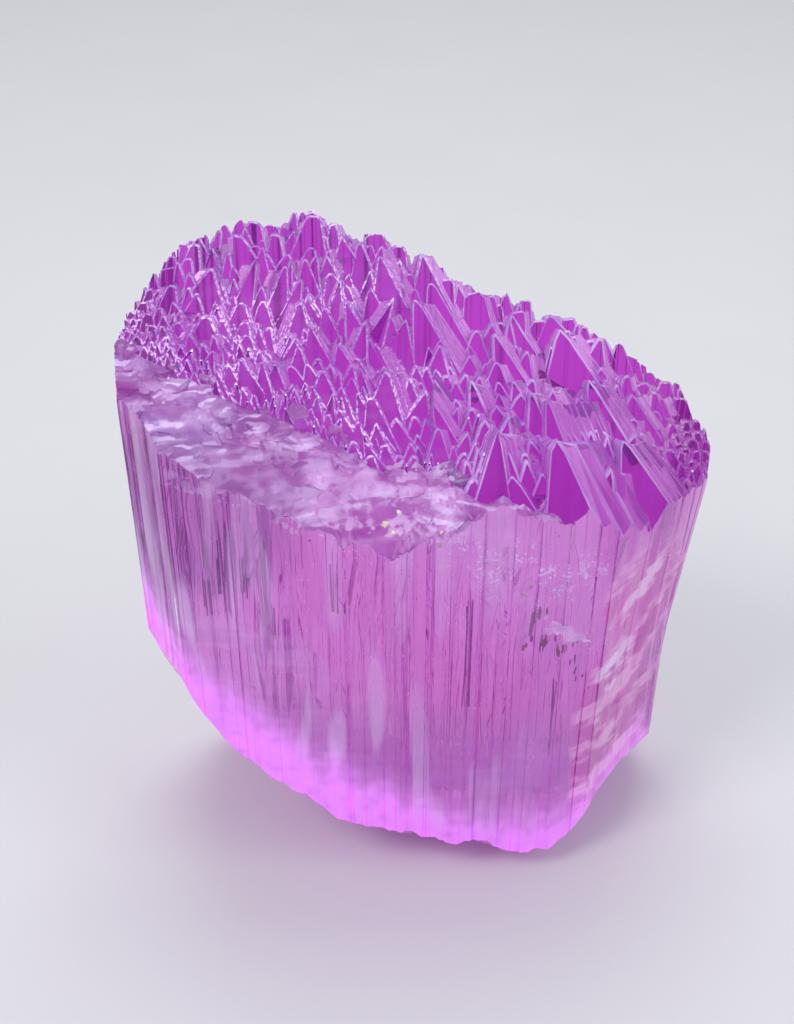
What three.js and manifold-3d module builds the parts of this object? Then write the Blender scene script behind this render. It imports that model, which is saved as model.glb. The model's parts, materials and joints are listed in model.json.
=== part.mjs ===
// A loose kunzite crystal: a flattened, striated prism that stands on its broken lower end,
// with a roof of shingled steeples. Millimetres, +Z along the long axis, +Y to the back.
import * as THREE from 'three';
import { mergeVertices } from 'three/addons/utils/BufferGeometryUtils.js';
import Module from 'manifold-3d';

// Driving dimensions.
const BLANK_TOP = 44; // the prism before its roof is shaped
const BLANK_MARGIN = 2; // how far the shaping slab reaches past the prism
const RIB_PITCH = 1.15; // growth ribs along the prism faces
const RIB_DEPTH = 0.16; // deepest of them
const RIB_ENDS = [0.08, 0.92]; // where a rib's flat starts and ends, over its pitch
const SLAB_CELL = 1.3; // facet size of the broken end and of the roof between steeples
const STEEPLE_SPREAD = 0.62; // half width of a steeple's foot over its height
const STEEPLE_LEAN = 0.42; // how far the smooth front of a steeple runs out over its height
const STEEPLE_BACK = 1.15; // the same for its back
const STEEPLE_ROOT = 2.4; // height below the tip at which a steeple ends, over its size
const ROOF_SINK = 0.9; // how far the ground between the steeples lies under the roof lines
const GRAVEL_PITCH = 1.8; // spacing of the small steeples that fill the roof
const GRAVEL_SIZE = 1.5; // smallest of them
const GRAVEL_SPREAD = 0.4; // how much larger the largest is
const GRAVEL_JITTER = 0.6; // how far one may stand behind its place, over the spacing
const GRAVEL_BACK = 7.4; // the last row
const GRAVEL_TIP = 0.42; // how far their tips stand above the roof, over their size
const WELD = 1e-4; // points closer than this are one point
const COLOUR = 0xb35fd2;

// Section corners of the prism, from the left end round the front: [x, y].
const SECTION = [
  [-15.9, -0.6], [-15.2, -4.3], [-12.6, -7.6], [-6.5, -8.4], [3.0, -8.7], [9.5, -8.3],
  [12.3, -6.9], [15.2, -3.9], [17.9, -1.0], [18.8, 2.4], [17.0, 5.6], [11.0, 7.3],
  [2.0, 7.8], [-7.0, 7.4], [-13.2, 5.5], [-15.7, 2.6],
];

// Height of the roof along four lines from front to back.
const ROOF_X = [-17, -12.8, -10.4, -7.8, -5.1, -2.5, 0.2, 2.9, 5.5, 8.8, 11, 13.2, 15.5, 19];
const ROOF_LINES = [
  { y: -8.6, z: [31.0, 31.4, 29.4, 28.6, 27.4, 26.2, 25.3, 26.4, 28.2, 26.8, 24.4, 22.8, 22.6, 22.4] },
  { y: -5.4, z: [32.0, 33.0, 32.4, 31.4, 30.6, 29.6, 28.3, 28.6, 29.9, 29.0, 26.8, 24.8, 23.8, 23.5] },
  { y: 0.0, z: [33.2, 34.6, 34.4, 34.0, 33.8, 32.6, 31.6, 30.9, 30.7, 30.2, 29.1, 27.6, 26.4, 25.3] },
  { y: 7.6, z: [35.8, 37.6, 38.0, 38.0, 38.1, 37.2, 36.1, 34.6, 33.2, 32.3, 31.5, 30.6, 29.5, 27.4] },
];

// Steeples big enough to be told apart: [x, y, height of the tip, size].
const STEEPLES = [
  [-14.4, 4.6, 36.6, 2.2], [-12.0, 6.0, 37.9, 2.4], [-9.0, 6.6, 38.3, 2.4], [-5.3, 6.8, 39.0, 3.0],
  [-3.1, 6.6, 38.0, 2.4], [-1.3, 6.8, 37.8, 2.6], [1.4, 6.4, 36.9, 2.8], [4.6, 6.4, 34.4, 2.4],
  [6.8, 6.2, 33.4, 2.2], [9.4, 5.8, 32.9, 2.8], [11.3, 4.8, 32.7, 4.6], [15.4, 4.6, 29.7, 3.0],
  [-11.4, 3.6, 36.9, 2.6], [-7.6, 2.8, 36.6, 3.0], [-3.9, 2.4, 35.7, 3.2], [0.2, 2.6, 34.7, 3.6],
  [3.2, 1.8, 32.9, 3.4], [6.2, 2.6, 32.2, 3.2], [9.6, 1.4, 31.4, 4.4], [13.4, 0.6, 29.4, 3.6],
  [16.8, 1.6, 27.9, 2.6], [-12.8, 0.8, 35.5, 2.2], [-9.8, -1.2, 34.9, 2.4], [-5.6, -1.6, 34.1, 2.6],
  [-1.6, -1.4, 33.0, 2.8], [2.2, -2.2, 31.2, 3.0], [5.4, -1.2, 30.7, 3.4], [8.0, -2.6, 30.4, 3.6],
  [10.8, -2.4, 30.0, 3.8], [13.4, -3.4, 27.6, 3.0], [5.4, -5.0, 29.3, 3.0], [8.9, -5.6, 29.4, 3.4],
];

// Front edge of the steeples, behind the smooth band at the left.
const GRAVEL_FRONT = { x: [-15, -12, -6, 0, 2, 5], y: [-0.5, -3.2, -3.6, -4.8, -5.2, -7.6] };

// Height of the broken lower end along four lines. The crystal stands where it is 0.
const BREAK_X = [-17, -14, -12, -10, -8, -5, -2, 0.5, 3, 5.5, 8, 10, 11.5, 12.8, 14.5, 17, 20];
const BREAK_LINES = [
  { y: -8.6, z: [26, 21.5, 14.8, 11.2, 9.1, 6.2, 4.4, 3.8, 3.5, 2.8, 1.9, 2.4, 3.8, 7.0, 9.5, 13, 15] },
  { y: -5.0, z: [22, 15.4, 11, 8.0, 6.0, 3.2, 1.3, 0.4, 0, 0, 0, 0, 1.2, 3.8, 6.6, 9.5, 14] },
  { y: 0.0, z: [17.4, 9.6, 6.4, 4.4, 2.4, 0, 0, 0, 0, 0, 0, 0, 0, 0.8, 2.0, 4.4, 10] },
  { y: 7.6, z: [7.0, 3.4, 1.6, 0.4, 0, 0, 0, 0, 0, 0, 0, 0, 0, 0, 0, 1.5, 4] },
];

const random = seeded(41);
const wasm = await Module();
wasm.setup();

function seeded(seed) {
  let state = seed;
  return () => {
    state = (state * 1664525 + 1013904223) % 4294967296;
    return state / 4294967296;
  };
}

function toSolid(geometry) {
  const bare = geometry.clone();
  bare.deleteAttribute('normal');
  bare.deleteAttribute('uv');
  const merged = mergeVertices(bare, WELD);
  return new wasm.Manifold(new wasm.Mesh({
    numProp: 3,
    vertProperties: new Float32Array(merged.attributes.position.array),
    triVerts: new Uint32Array(merged.index.array),
  }));
}

function toGeometry(solid) {
  const mesh = solid.getMesh();
  const geometry = new THREE.BufferGeometry();
  geometry.setAttribute('position', new THREE.BufferAttribute(mesh.vertProperties, 3));
  geometry.setIndex(new THREE.BufferAttribute(mesh.triVerts, 1));
  geometry.computeVertexNormals();
  return geometry;
}

function along(stations, values, x) {
  const last = stations.length - 1;
  if (x <= stations[0]) return values[0];
  if (x >= stations[last]) return values[last];
  const i = stations.findIndex((station) => station > x) - 1;
  const share = (x - stations[i]) / (stations[i + 1] - stations[i]);
  return THREE.MathUtils.lerp(values[i], values[i + 1], share);
}

function heightOver(stations, lines, x, y) {
  const heights = lines.map((line) => along(stations, line.z, x));
  return along(lines.map((line) => line.y), heights, y);
}

const roofHeight = (x, y) => heightOver(ROOF_X, ROOF_LINES, x, y);
const steeplesFrom = (x) => along(GRAVEL_FRONT.x, GRAVEL_FRONT.y, x);
const groundHeight = (x, y) => roofHeight(x, y) - (y > steeplesFrom(x) ? ROOF_SINK : 0);
const breakHeight = (x, y) => heightOver(BREAK_X, BREAK_LINES, x, y);

// Ribbed outline of the prism, each rib a shallow step in or out of the face.
function ribbedOutline() {
  const points = [];
  SECTION.forEach(([ax, ay], i) => {
    const [bx, by] = SECTION[(i + 1) % SECTION.length];
    const length = Math.hypot(bx - ax, by - ay);
    const ribs = Math.max(2, Math.round(length / RIB_PITCH));
    const inward = new THREE.Vector2(-(by - ay), bx - ax).divideScalar(length);
    for (let rib = 0; rib < ribs; rib += 1) {
      const depth = RIB_DEPTH * random();
      for (const end of RIB_ENDS) {
        const share = (rib + end) / ribs;
        points.push(new THREE.Vector2(
          THREE.MathUtils.lerp(ax, bx, share) + inward.x * depth,
          THREE.MathUtils.lerp(ay, by, share) + inward.y * depth,
        ));
      }
    }
  });
  return points;
}

function prism() {
  const shape = new THREE.Shape(ribbedOutline());
  return toSolid(new THREE.ExtrudeGeometry(shape, { depth: BLANK_TOP, bevelEnabled: false }));
}

// A slab whose top follows the roof and whose underside follows the broken end.
function shapingSlab() {
  const box = new THREE.Box2().setFromPoints(SECTION.map(([x, y]) => new THREE.Vector2(x, y)));
  box.expandByScalar(BLANK_MARGIN);
  const size = box.getSize(new THREE.Vector2());
  const centre = box.getCenter(new THREE.Vector2());
  const columns = Math.round(size.x / SLAB_CELL);
  const rows = Math.round(size.y / SLAB_CELL);
  const slab = new THREE.BoxGeometry(size.x, size.y, 1, columns, rows, 1);
  slab.translate(centre.x, centre.y, 0);
  const place = slab.attributes.position;
  for (let i = 0; i < place.count; i += 1) {
    const x = place.getX(i);
    const y = place.getY(i);
    place.setZ(i, place.getZ(i) > 0 ? groundHeight(x, y) : breakHeight(x, y));
  }
  return toSolid(slab);
}

// A steeple is a pyramid with a steep smooth front and its tip set forward.
function steeple(x, y, tip, size) {
  const root = size * STEEPLE_ROOT;
  const pyramid = new THREE.ConeGeometry(Math.SQRT1_2, 1, 4, 1, false, Math.PI / 4);
  pyramid.rotateX(Math.PI / 2);
  pyramid.translate(0, 0, -0.5);
  const deep = STEEPLE_LEAN + STEEPLE_BACK;
  pyramid.scale(2 * STEEPLE_SPREAD * root, deep * root, root);
  const shift = (STEEPLE_BACK - STEEPLE_LEAN) / 2;
  pyramid.applyMatrix4(new THREE.Matrix4().set(1, 0, 0, 0, 0, 1, -shift, 0, 0, 0, 1, 0, 0, 0, 0, 1));
  pyramid.translate(x, y, tip);
  return toSolid(pyramid);
}

// Small steeples on a jittered grid between the named ones.
function gravel() {
  const places = [];
  for (let x = SECTION[0][0] + 1; x < SECTION[9][0]; x += GRAVEL_PITCH) {
    for (let y = steeplesFrom(x); y < GRAVEL_BACK; y += GRAVEL_PITCH) {
      const px = x + GRAVEL_PITCH * (random() - 0.5);
      const py = y + GRAVEL_JITTER * GRAVEL_PITCH * random();
      const size = GRAVEL_SIZE * (1 + GRAVEL_SPREAD * random());
      places.push([px, py, roofHeight(px, py) + GRAVEL_TIP * size, size]);
    }
  }
  return places;
}

const blank = prism();
let roof = null;
for (const [x, y, tip, size] of [...STEEPLES, ...gravel()]) {
  const one = steeple(x, y, tip, size);
  roof = roof ? roof.add(one) : one;
}
const crystalSolid = shapingSlab().add(roof).intersect(blank);

// The origin is the middle of the box on the plane that the crystal stands on.
const geometry = toGeometry(crystalSolid);
geometry.computeBoundingBox();
const middle = geometry.boundingBox.getCenter(new THREE.Vector3());
geometry.translate(-middle.x, -middle.y, -geometry.boundingBox.min.z);

const kunzite = new THREE.MeshStandardMaterial({ color: COLOUR, roughness: 0.12, metalness: 0 });
const crystal = new THREE.Mesh(geometry, kunzite);
crystal.name = 'kunzite_crystal';

const model = new THREE.Group();
model.add(crystal);
export default model;
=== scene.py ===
import json
import math
import random
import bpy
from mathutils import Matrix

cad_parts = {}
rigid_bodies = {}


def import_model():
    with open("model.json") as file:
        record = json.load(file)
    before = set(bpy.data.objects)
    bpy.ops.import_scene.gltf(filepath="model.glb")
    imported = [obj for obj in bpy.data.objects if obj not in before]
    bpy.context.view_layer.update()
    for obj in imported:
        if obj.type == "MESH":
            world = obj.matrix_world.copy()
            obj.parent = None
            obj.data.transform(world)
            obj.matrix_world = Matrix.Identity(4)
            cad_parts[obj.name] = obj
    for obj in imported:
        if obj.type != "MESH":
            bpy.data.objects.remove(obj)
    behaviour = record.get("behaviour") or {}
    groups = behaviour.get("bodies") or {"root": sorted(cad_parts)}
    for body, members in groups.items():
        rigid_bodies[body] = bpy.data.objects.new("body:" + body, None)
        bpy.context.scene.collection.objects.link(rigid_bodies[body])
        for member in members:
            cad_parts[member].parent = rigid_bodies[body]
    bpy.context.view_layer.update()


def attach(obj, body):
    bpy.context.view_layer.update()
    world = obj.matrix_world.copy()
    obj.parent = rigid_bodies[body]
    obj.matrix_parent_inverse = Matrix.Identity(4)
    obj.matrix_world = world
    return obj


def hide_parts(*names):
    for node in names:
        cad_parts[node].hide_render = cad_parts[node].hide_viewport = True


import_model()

from types import SimpleNamespace

import bmesh
import bpy
import numpy as np
from mathutils import Matrix, Vector, noise

mm = 0.001  # shapes are worked out in millimetres and scaled when they are placed
node = "kunzite_crystal"
axisPlace = (-1.414, 0.488)  # the prism's long axis, from the frame's origin

# what each face is, kept on the faces through the booleans: the prism's walls, the front faces, the
# flanks and rims of the hillocks, the broken band, the underside, the flakes and chips, and the
# treads of the stepped flanks
wallFace, smoothFace, flankFace, brokenFace, restFace, flakeFace, treadFace = range(7)


def meshFrom(bm, name, kinds=None):
    # kinds is one kind for all faces, or a list with one for each
    mesh = bpy.data.meshes.new(name)
    bm.to_mesh(mesh)
    bm.free()
    if kinds is not None:
        kept = mesh.attributes.new("kind", "INT", "FACE")
        kept.data.foreach_set("value", (np.zeros(len(mesh.polygons)) + kinds).astype(np.int32))
    return mesh


def linked(mesh, name, collection=None):
    piece = bpy.data.objects.new(name, mesh)
    (collection or bpy.context.scene.collection).objects.link(piece)
    return piece


def newCollection(name):
    collection = bpy.data.collections.new(name)
    bpy.context.scene.collection.children.link(collection)
    return collection


def pointsOf(verts):
    return np.array([v.co[:] for v in verts])


def movePoints(verts, points):
    for vert, point in zip(verts, points):
        vert.co = point


def smoothStep(low, high, value):
    share = np.clip((value - low) / (high - low), 0, 1)
    return share * share * (3 - 2 * share)


def noiseAt(points, scale, octaves=3, seed=0.0):
    # fractal noise between about -1 and 1; each octave is 2.1 times finer and 0.9 sets how fast it fades
    shift = np.array([seed, 1.7 * seed, -seed])
    return np.array([noise.fractal(Vector(p), 0.9, 2.1, octaves) for p in points * scale + shift])


def flatPoints(x, y):
    return np.column_stack([x, y, np.zeros(len(x))])


def alongLines(stations, lines, x, y, ease=True):
    # heights over x, y from lines that run along x, one at each depth y
    depths = np.array([depth for depth, heights in lines])
    table = np.array([np.interp(x, stations, heights) for depth, heights in lines])
    slot = np.clip(np.searchsorted(depths, y) - 1, 0, len(lines) - 2)
    share = np.clip((y - depths[slot]) / (depths[slot + 1] - depths[slot]), 0, 1)
    if ease:
        share = smoothStep(0, 1, share)
    column = np.arange(len(x))
    return table[slot, column] * (1 - share) + table[slot + 1, column] * share


def ringStack(count, rows):
    # a capped tube: its rings of vertices, front to back, and the row of each face, which is -1 for
    # the front cap and rows for the back cap
    bm = bmesh.new()
    ring = list(bmesh.ops.create_circle(bm, cap_ends=True, segments=count, radius=1)["verts"])
    rings, cap = [ring], list(bm.faces)
    for row in range(rows):
        grown = bmesh.ops.extrude_face_region(bm, geom=cap, use_keep_orig=row == 0)["geom"]
        if row:
            bmesh.ops.delete(bm, geom=cap, context="FACES_ONLY")
        cap = [g for g in grown if isinstance(g, bmesh.types.BMFace)]
        fresh = set(cap[0].verts)
        ring = [next(e.other_vert(v) for e in v.link_edges if e.other_vert(v) in fresh) for v in ring]
        rings.append(ring)
    ringOf = {vert: row for row, ring in enumerate(rings) for vert in ring}
    bm.faces.ensure_lookup_table()
    faceRows = []
    for face in bm.faces:
        rowsHere = [ringOf[v] for v in face.verts]
        flat = min(rowsHere) == max(rowsHere)
        faceRows.append((-1 if max(rowsHere) == 0 else rows) if flat else min(rowsHere))
    return bm, rings, faceRows


prism = {
    "section": [(-15.9, -0.6), (-15.2, -4.3), (-12.6, -7.6), (-6.5, -8.4), (3.0, -8.7), (9.5, -8.3),
                (12.3, -6.9), (15.2, -3.9), (17.9, -1.0), (18.8, 2.4), (17.0, 5.6), (11.0, 7.3),
                (2.0, 7.8), (-7.0, 7.4), (-13.2, 5.5), (-15.7, 2.6)],
    "groove": (0.08, 0.7),  # narrowest and widest groove
    "depth": 0.09,
    "deepShare": 0.07,  # share of the grooves that are much deeper
    "deep": 0.26,
    "tilt": 0.05,  # how much deeper one end of a groove may lie than the other
    "wide": 0.16,  # the wide facets' depth
    "wideRun": (0.8, 3.2),  # how far one runs along the wall
    "riser": 0.03,  # run of the step between two grooves
    "fadeStretch": (1.4, 1.4, 0.1),  # grooves come and go up the wall
    "swayStretch": (0.16, 0.16, 0.05),  # and the whole wall sways
    "taper": 0.11,  # how much the right side leans in for each unit down
    "taperLimits": (-0.7, 0.75),
    "calm": (6, 7, 8),  # the sides with few and shallow grooves
    "calmShare": 0.35,
    "rows": 14,
    "low": -1.0,
    "top": 44.0,
    "seed": 7,
}


def buildPrism(spec):
    rng = random.Random(spec["seed"])
    corners = [Vector(corner) for corner in spec["section"]]
    spots, inward, depths = [], [], []
    narrow, wide = spec["groove"]
    for i, start in enumerate(corners):
        calm = spec["calmShare"] if i in spec["calm"] else 1.0
        side = corners[(i + 1) % len(corners)] - start
        way = side.normalized()
        run, shelf, shelfEnd = 0.0, 0.0, 0.0
        while run < side.length - narrow:
            if run >= shelfEnd:
                shelf, shelfEnd = rng.random() ** 1.5 * spec["wide"], run + rng.uniform(*spec["wideRun"])
            width = min(narrow + (wide / calm - narrow) * rng.random() ** (2.2 * calm), side.length - run)
            depth = rng.random() * (spec["deep"] if rng.random() < spec["deepShare"] else spec["depth"])
            tilt = spec["tilt"] * rng.uniform(-1, 1)
            for end, lower in ((run + spec["riser"] / 2, tilt), (run + width - spec["riser"] / 2, -tilt)):
                spots.append(tuple(start + way * end))
                inward.append((-way.y, way.x))
                depths.append(max(calm * (depth + lower + shelf), 0))
            run += width
    spots, inward, depths = np.array(spots), np.array(inward), np.array(depths)
    bm, rings = ringStack(len(spots), spec["rows"])[:2]
    for row, ring in enumerate(rings):
        z = spec["low"] + (spec["top"] - spec["low"]) * row / spec["rows"]
        places = np.column_stack([spots, np.full(len(spots), z)])
        fade = np.clip(0.7 + 0.6 * noiseAt(places * spec["fadeStretch"], 1.0, 2, 3.0), 0.05, 1.3)
        sway = np.clip(0.1 + 0.1 * noiseAt(places * spec["swayStretch"], 1.0, 2, 9.0), 0, 0.3)
        places[:, :2] += inward * (depths * fade + sway)[:, None]
        leanIn = np.clip((26 - z) * spec["taper"] - 0.6, *spec["taperLimits"])
        places[:, 0] -= leanIn * smoothStep(10, 17, places[:, 0])
        movePoints(ring, places)
    bmesh.ops.recalc_face_normals(bm, faces=bm.faces)
    return meshFrom(bm, "prism", wallFace)


# heights of the roof and the foot at the stations along x, in lines from front to back
roof = {
    "stations": [-17, -12.8, -10.4, -7.8, -5.1, -2.5, 0.2, 2.9, 5.5, 8.8, 11, 13.2, 15.5, 19],
    "lines": [
        (-8.6, [31.0, 31.4, 29.4, 28.6, 27.4, 26.2, 25.5, 27.0, 28.8, 27.2, 24.6, 23.0, 22.8, 22.6]),
        (-5.4, [32.4, 33.0, 32.4, 31.4, 30.6, 29.6, 28.6, 29.2, 30.5, 29.6, 27.4, 25.4, 24.3, 24.0]),
        (0.0, [33.8, 35.2, 34.9, 34.4, 34.2, 33.0, 32.0, 31.4, 31.3, 30.8, 29.7, 28.2, 27.0, 25.9]),
        (7.6, [36.6, 38.5, 38.9, 38.9, 39.2, 38.0, 36.9, 35.4, 34.0, 33.1, 32.3, 31.4, 30.3, 28.2]),
    ],
    "sunk": 1.9,  # the ground between the hillocks, under those lines
    # where the hillocks end, in front: x and y
    "front": ([-15, -12, -6, 0, 2, 5], [-0.5, -3.2, -3.6, -4.8, -5.2, -7.6]),
}
foot = {
    "stations": [-17, -14, -12, -10, -8, -5, -2, 0.5, 3, 5.5, 8, 10, 11.5, 12.8, 14.5, 17, 20],
    "lines": [
        (-8.6, [26, 21.5, 14.8, 11.2, 9.1, 6.2, 4.4, 3.8, 3.5, 2.8, 1.9, 2.4, 3.8, 7, 9.5, 13, 15]),
        (-5.0, [22, 15.4, 11, 8, 6, 3.2, 1.3, 0.4, 0, 0, 0, 0, 1.2, 3.8, 6.6, 9.5, 14]),
        (0.0, [17.4, 9.6, 6.4, 4.4, 2.4, 0, 0, 0, 0, 0, 0, 0, 0, 0.8, 2, 4.4, 10]),
        (7.6, [7, 3.4, 1.6, 0.4, 0, 0, 0, 0, 0, 0, 0, 0, 0, 0, 0, 1.5, 4]),
    ],
    "ripple": 0.35,
    "bumps": 0.9,  # hollows over the part that it stands on
    "toothWidth": 0.9,  # teeth for each unit along the front edge
    "toothHeight": 0.5,
}
slab = {
    "halfX": 20.0,
    "halfY": 10.0,
    "cell": 0.27,
    "terrace": 0.28,  # height of the lumps on the broken band
    "terraces": 3.2,  # steps for each unit of noise
    "grain": (0.17, 0.05),  # height of the finer noises on it
    "nicks": 0.85,  # depth of the nicks in the rim over the front wall
    "seed": 4.0,
}


def roofAt(x, y):
    return alongLines(roof["stations"], roof["lines"], np.atleast_1d(x), np.atleast_1d(y))


def hillockField(x, y):
    # 1 where hillocks grew, 0 on the broken front band
    return smoothStep(-0.5, 0.5, y - np.interp(x, *roof["front"]))


def buildSlab(spec):
    bm = bmesh.new()
    nx, ny = (int(2 * spec[half] / spec["cell"]) for half in ("halfX", "halfY"))
    bmesh.ops.create_grid(bm, x_segments=nx, y_segments=ny, size=1)
    bmesh.ops.scale(bm, verts=bm.verts, vec=(spec["halfX"], spec["halfY"], 1))
    under = list(bm.verts)
    grown = bmesh.ops.extrude_face_region(bm, geom=bm.faces[:], use_keep_orig=True)["geom"]
    over = [g for g in grown if isinstance(g, bmesh.types.BMVert)]

    # the roof's ground and the broken band
    x, y = pointsOf(over).T[:2]
    flat = flatPoints(x, y)
    field = hillockField(x, y)
    lumps = noiseAt(flat, 0.42, 3, spec["seed"])
    terraces = np.round(lumps * spec["terraces"]) / spec["terraces"]
    broken = spec["terrace"] * (0.75 * terraces + 0.25 * lumps)
    for height, scale, octaves, seed in zip(spec["grain"], (2.2, 5.0), (3, 2), (8.0, 14.0)):
        broken = broken + height * noiseAt(flat, scale, octaves, seed)
    rim = smoothStep(-7.0, -8.2, y)  # 1 along the edge over the front wall
    nicks = np.maximum(noiseAt(flat, 0.9, 2, 71.0) + 0.15, 0) * spec["nicks"]
    z = roofAt(x, y) - roof["sunk"] * field * (1 - 0.7 * rim) - 0.25 * (1 - field)
    z += broken * (1 - 0.7 * field) - rim * nicks
    movePoints(over, np.column_stack([x, y, z]))

    # the broken underside, flat where it stands and toothed along the front
    x, y = pointsOf(under).T[:2]
    flat = flatPoints(x, y)
    z = alongLines(foot["stations"], foot["lines"], x, y, False)
    lift = smoothStep(0, 1.2, z)
    coarse, fine = noiseAt(flat, 0.45, 3, 21.0), noiseAt(flat, 1.6, 2, 33.0)
    z += lift * (foot["ripple"] * coarse + 0.14 * fine)
    z += foot["bumps"] * np.clip(noiseAt(flat, 0.3, 4, 41.0) + 0.12, 0, 1) * (1 - lift)
    teeth = np.abs((x * foot["toothWidth"] + 0.6 * fine) % 1 - 0.5) * foot["toothHeight"]
    z += (teeth + 0.25 * coarse) * smoothStep(-7.2, -8.4, y)
    movePoints(under, np.column_stack([x, y, np.maximum(z, 0)]))
    bmesh.ops.recalc_face_normals(bm, faces=bm.faces)
    kinds = []
    for face in bm.faces:
        x, y, z = face.calc_center_median()
        upper = smoothFace if face.normal.z > 0.05 and hillockField(x, y) > 0.5 else brokenFace
        kinds.append(restFace if face.normal.z < -0.05 else upper)
    return meshFrom(bm, "slab", kinds)


# the leading hillocks: x, y and z of the tip, height and width of the face, and the side of the long flank
leaders = [
    (9.8, 5.0, 32.4, 3.7, 3.6, 1), (8.5, -5.9, 31.0, 5.2, 3.2, 1), (5.4, -5.7, 31.4, 5.0, 2.5, 1),
    (0.5, 3.2, 33.9, 3.1, 2.7, 1), (3.7, 4.2, 32.7, 1.6, 1.4, 1), (6.2, 3.0, 31.4, 1.9, 1.6, 1),
    (-0.7, -0.6, 32.3, 1.4, 1.5, 0), (0.7, -0.2, 31.8, 1.1, 1.0, 0), (1.7, 1.0, 31.9, 1.0, 1.0, 0),
    (4.6, 6.2, 34.3, 2.6, 1.9, 1), (6.2, 6.5, 33.4, 1.5, 1.0, 1), (9.3, 6.6, 32.7, 1.6, 2.4, 1),
    (13.7, 6.2, 30.1, 2.5, 2.2, 1), (14.0, 0.1, 28.0, 3.0, 2.4, 1), (17.4, 4.6, 28.0, 1.8, 1.6, 0),
    (-7.8, 5.1, 37.6, 1.9, 1.3, -1), (-5.5, 1.8, 35.6, 1.7, 1.3, -1), (-4.9, 6.4, 39.0, 1.7, 1.9, 0),
    (-2.2, 6.2, 37.5, 1.7, 1.4, -1), (-0.9, 6.3, 37.2, 1.7, 1.2, 1), (-10.7, 0.4, 35.4, 1.4, 1.9, 0),
    (-10.6, 3.4, 37.0, 2.0, 2.4, -1), (11.9, 6.2, 31.2, 1.8, 1.6, 0), (15.6, 6.0, 29.2, 1.5, 1.4, 0),
    (11.9, -4.6, 28.4, 3.0, 2.2, 1), (14.3, -3.0, 26.9, 2.6, 2.0, 1), (7.9, 1.6, 30.8, 1.9, 1.5, 1),
    (2.0, 5.5, 35.2, 1.9, 1.6, 1), (1.5, 6.4, 36.7, 1.8, 1.5, 0), (3.0, 6.4, 35.1, 1.7, 1.3, 1),
    (-13.2, 4.6, 36.6, 1.6, 1.6, -1), (-2.9, 2.6, 35.3, 1.7, 1.3, -1), (2.3, -3.6, 30.4, 1.8, 1.4, 1),
    (-10.9, 3.4, 36.7, 1.6, 1.8, -1), (-5.6, 2.0, 35.5, 1.5, 1.3, -1), (-4.9, 0.6, 34.7, 1.1, 0.9, 0),
    (-3.3, 0.0, 33.8, 1.2, 1.2, 0), (-2.5, -1.0, 33.1, 1.1, 1.0, 0), (-0.6, -0.9, 32.5, 1.6, 1.5, 1),
    (-3.3, 3.7, 36.1, 1.4, 0.8, -1), (-5.5, 3.2, 36.4, 1.3, 0.8, -1), (-6.1, 4.1, 37.2, 1.5, 0.7, -1),
    (-8.6, -2.1, 34.0, 1.0, 0.9, 0), (-7.4, -2.1, 33.8, 2.0, 1.2, 0), (5.8, 1.6, 31.9, 1.6, 1.6, 1),
    (6.7, 4.8, 33.1, 2.4, 1.1, 1), (2.5, 2.2, 32.7, 1.5, 1.3, 1), (14.0, 4.3, 29.7, 1.2, 1.1, 0),
    (15.7, 4.1, 28.7, 1.4, 1.1, 0), (-1.0, 5.4, 36.9, 1.4, 1.1, 1), (7.6, -1.0, 31.3, 1.7, 1.1, 1),
]
# hillocks with a broad fanned flank: the tip, height, width, layers, spread, drop and skew of the face
fans = [
    (8.4, -1.9, 31.4, 5.0, 2.2, 8, 1.4, 0.3, 0.34), (2.0, -2.4, 31.4, 4.6, 2.0, 4, 1.0, -0.7, 0.28),
    (5.7, 3.3, 33.0, 2.9, 2.0, 4, 1.0, 0.2, 0.3), (1.1, 3.8, 34.8, 2.8, 2.0, 4, 1.0, 0.2, 0.3),
    (11.2, 1.6, 30.8, 3.4, 2.0, 5, 1.1, 0.4, 0.3), (4.2, -0.6, 31.9, 3.6, 1.8, 4, 1.1, 0.3, 0.26),
    (-8.1, 4.0, 37.3, 3.2, 1.4, 5, 1.2, 0.4, -0.3), (-6.4, 3.6, 37.0, 3.0, 1.6, 4, 1.2, 0.5, -0.3),
    (-1.8, 1.6, 34.6, 2.6, 1.4, 5, 1.2, 0.4, -0.3), (-0.2, 3.2, 35.2, 3.0, 1.4, 5, 1.2, 0.4, -0.35),
    (-4.4, 0.6, 34.6, 2.4, 1.3, 4, 1.2, 0.4, -0.25), (12.9, -2.2, 28.8, 2.8, 2.2, 5, 1.2, 0.4, 0.3),
]
hillock = {
    "lean": 28.0,  # degrees that the front faces lean back
    "rim": 0.12,  # chamfer round each front face
    "roots": 2.2,  # buried height over face height
    "crest": 0.18,  # rise of the crest along the face for each unit of depth
    "layer": (0.24, 0.38),  # thickness of the layers that step up the flanks
    "longFlank": 1.05,  # growth for each unit of depth
    "shortFlank": 0.2,
    "stations": [-15, -8, -2, 3, 8, 14, 18],
    "sizes": [1.4, 2.2, 2.2, 2.2, 2.4, 1.9, 1.4],  # at those stations along x
    "sizeSpread": (0.5, 0.65, 0.85, 1.0, 1.2, 1.4),
    "tries": 9000,
    "gap": 0.08,  # squared distance between two, over their sizes added up
    "lowered": (0, 0.4, 0.8, 1.2, 1.8, 2.4),  # how far one may sink so that it hides no leading one
    "seed": 11,
}
templates = {}  # meshes shared by the hillocks with the same number of layers
leanBack = math.radians(hillock["lean"])
upFace = np.array([0, math.sin(leanBack), math.cos(leanBack)])
intoFace = np.array([0, math.cos(leanBack), -math.sin(leanBack)])
sideFace = np.array([1.0, 0, 0])


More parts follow.
